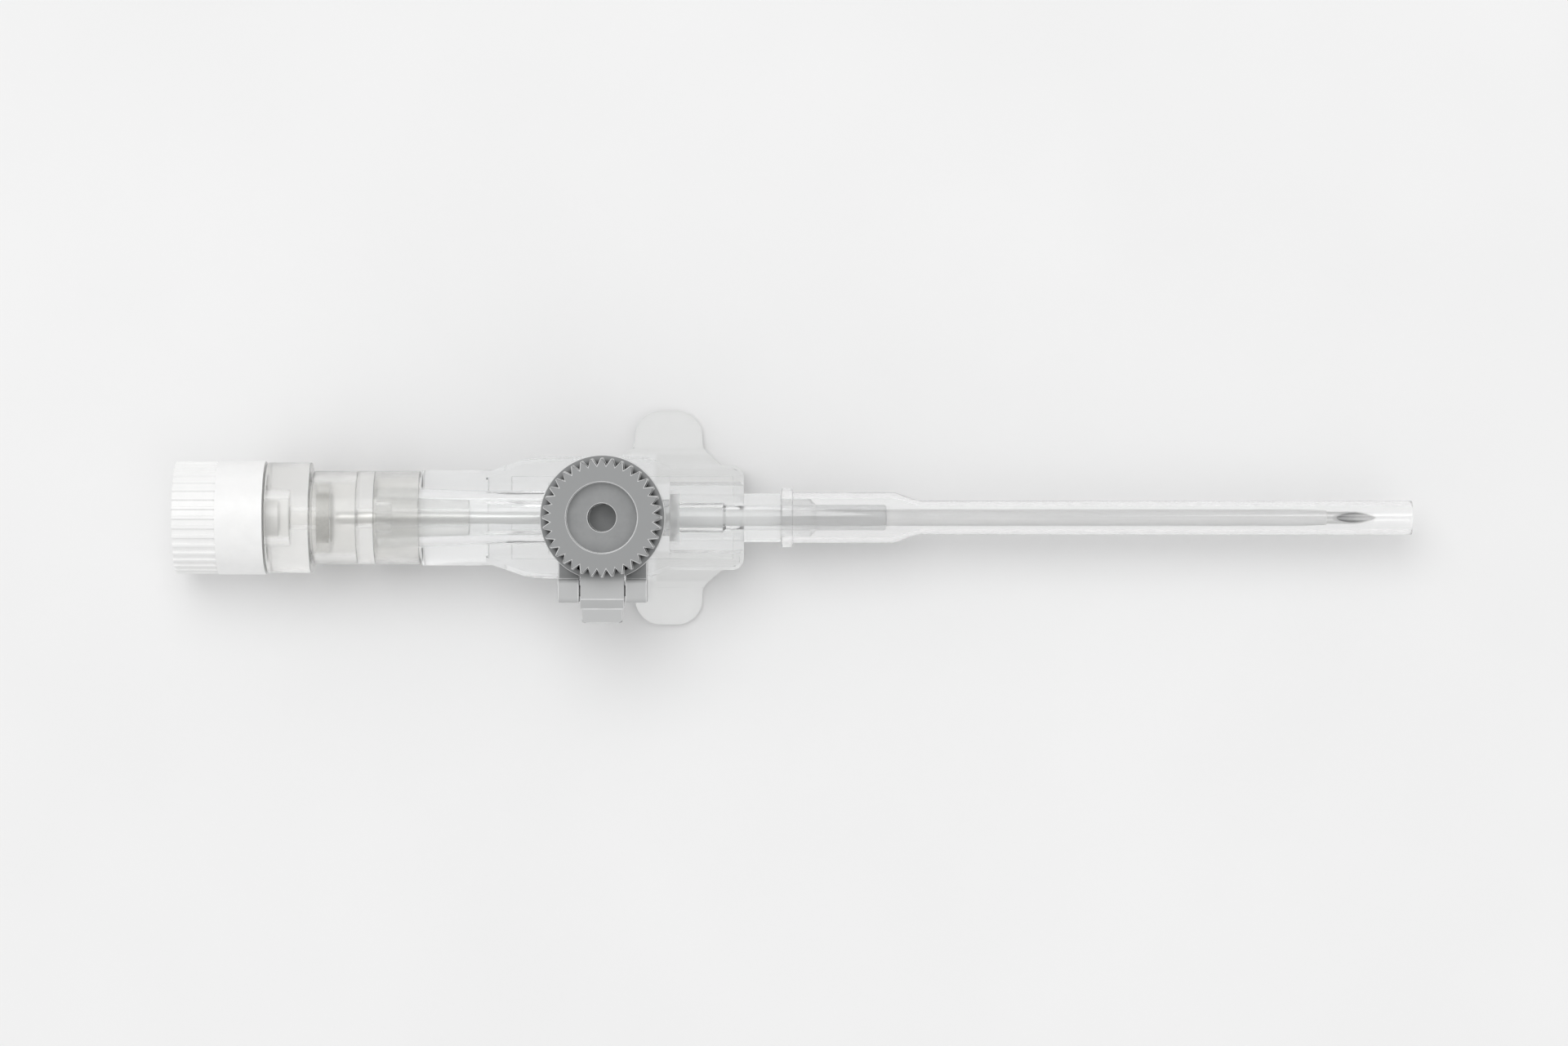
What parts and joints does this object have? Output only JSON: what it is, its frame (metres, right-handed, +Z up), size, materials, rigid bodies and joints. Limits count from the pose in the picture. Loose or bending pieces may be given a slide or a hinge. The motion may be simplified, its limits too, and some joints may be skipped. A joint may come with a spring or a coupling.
{
  "type": "intravenous cannula",
  "caption": "Peripheral intravenous cannula: winged hub with hinged port cap, soft catheter over a bevelled steel needle, flash chamber, closing plug and needle guard.",
  "frame": {"origin": "on the flat underside of the wings' block, straight below the axis of the injection port", "axes": "+X along the catheter towards its tip, +Z up through the injection port, +Y away from the cap's hinge"},
  "size_m": [0.1262, 0.022, 0.0166],
  "materials": {
    "clear_hub": "clear polypropylene",
    "clear_chamber": "clear polypropylene, slightly warm",
    "clear_guard": "clear polyethylene",
    "catheter": "translucent fluoropolymer",
    "silicone": "translucent silicone",
    "steel": "drawn stainless steel",
    "filter": "porous polyethylene",
    "white_plug": "satin white polyethylene",
    "grey_plastic": "satin grey polyethylene"
  },
  "bodies": {
    "hub": {"catheter_hub": "clear_hub", "valve_sleeve": "silicone", "catheter_eyelet": "steel", "catheter_tube": "catheter", "port_collar": "grey_plastic"},
    "cap": {"port_cap": "grey_plastic"},
    "needle_assembly": {"needle_hub": "clear_chamber", "introducer_needle": "steel", "rear_luer_piece": "clear_chamber", "vent_filter": "filter"},
    "plug": {"luer_lock_plug": "white_plug"},
    "guard": {"needle_guard": "clear_guard"}
  },
  "joints": [
    {"name": "cap_flip", "type": "hinge", "parent": "hub", "child": "cap", "pos_m": [0, -0.0074, 0.0131], "axis": [1, 0, 0], "range_deg": [0, 110]},
    {"name": "needle_withdraw", "type": "slide", "parent": "hub", "child": "needle_assembly", "axis": [-1, 0, 0], "range_m": [0, 0.105]},
    {"name": "plug_off", "type": "slide", "parent": "needle_assembly", "child": "plug", "axis": [-1, 0, 0], "range_m": [0, 0.012]},
    {"name": "guard_off", "type": "slide", "parent": "hub", "child": "guard", "axis": [1, 0, 0], "range_m": [0, 0.064]}
  ]
}
